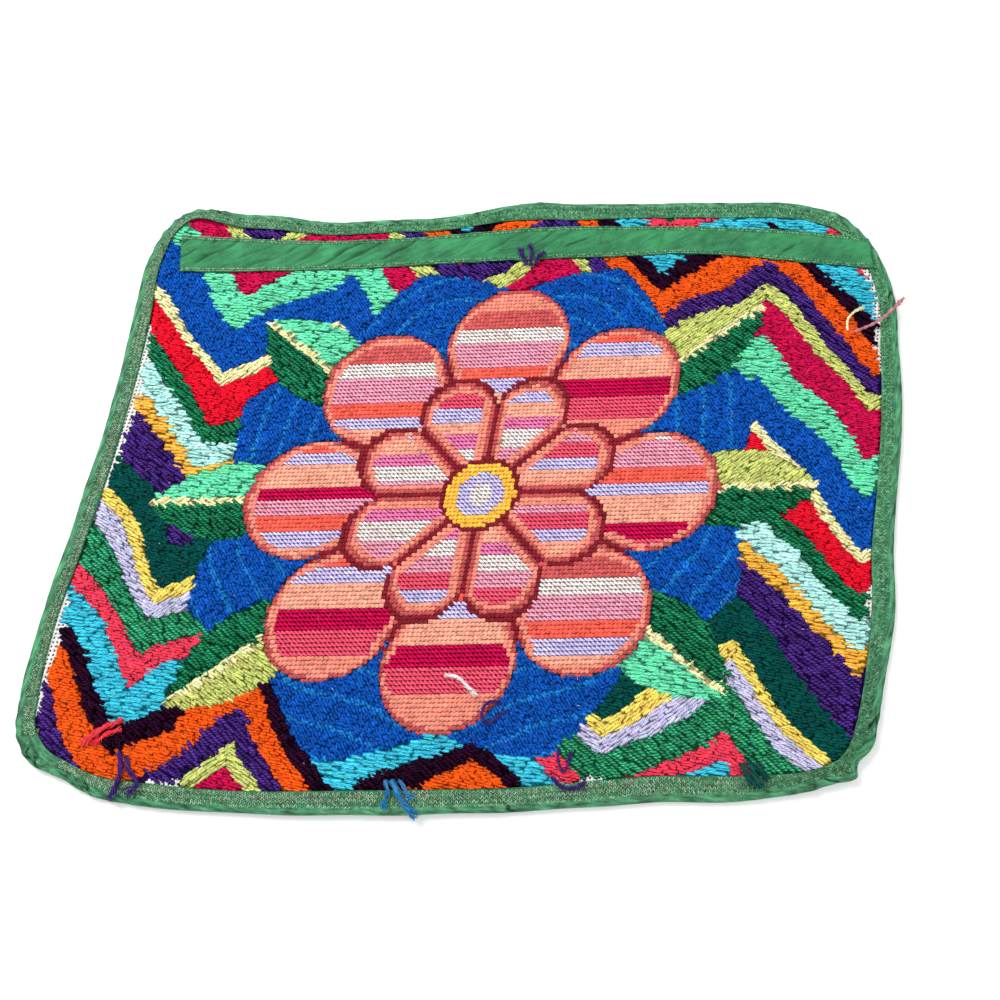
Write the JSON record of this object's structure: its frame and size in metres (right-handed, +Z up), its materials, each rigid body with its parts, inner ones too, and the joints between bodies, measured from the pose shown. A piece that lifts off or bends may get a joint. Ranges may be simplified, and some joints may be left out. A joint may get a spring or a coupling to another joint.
{
  "type": "bound needlepoint canvas panel",
  "caption": "Flat hand-stitched needlepoint canvas with a folded cotton binding, a sewn top strip and loose yarn ends, lying wrong side up.",
  "frame": {"origin": "on the surface it lies on, under the middle of the whole piece's outline", "axes": "+X along the rows of stitches towards the right of the strip, +Y from the front edge to the edge with the sewn strip, +Z up from the surface"},
  "size_m": [0.5386, 0.398, 0.0094],
  "materials": {
    "needlework": "wool stitches in many colours over white cotton canvas, matt",
    "cotton_tape": "matt woven cotton",
    "yarn": "matt plied wool"
  },
  "bodies": {
    "root": {"canvas_panel": "needlework", "edge_binding": "cotton_tape", "top_strip": "cotton_tape", "yarn_end_azure_front_1": "yarn", "yarn_end_azure_front_2": "yarn", "yarn_end_azure_front_3": "yarn", "yarn_end_cream_side": "yarn", "yarn_end_cream_thread": "yarn", "yarn_end_pink_side": "yarn", "yarn_end_scarlet_corner_1": "yarn", "yarn_end_scarlet_corner_2": "yarn", "yarn_end_teal_front_1": "yarn", "yarn_end_teal_front_2": "yarn", "yarn_end_teal_front_3": "yarn", "yarn_end_violet_corner_1": "yarn", "yarn_end_violet_corner_2": "yarn", "yarn_end_violet_front_edge": "yarn", "yarn_end_violet_front_loop": "yarn", "yarn_end_violet_loop": "yarn", "yarn_end_violet_top_1": "yarn", "yarn_end_violet_top_2": "yarn", "yarn_end_violet_top_3": "yarn"}
  },
  "joints": []
}
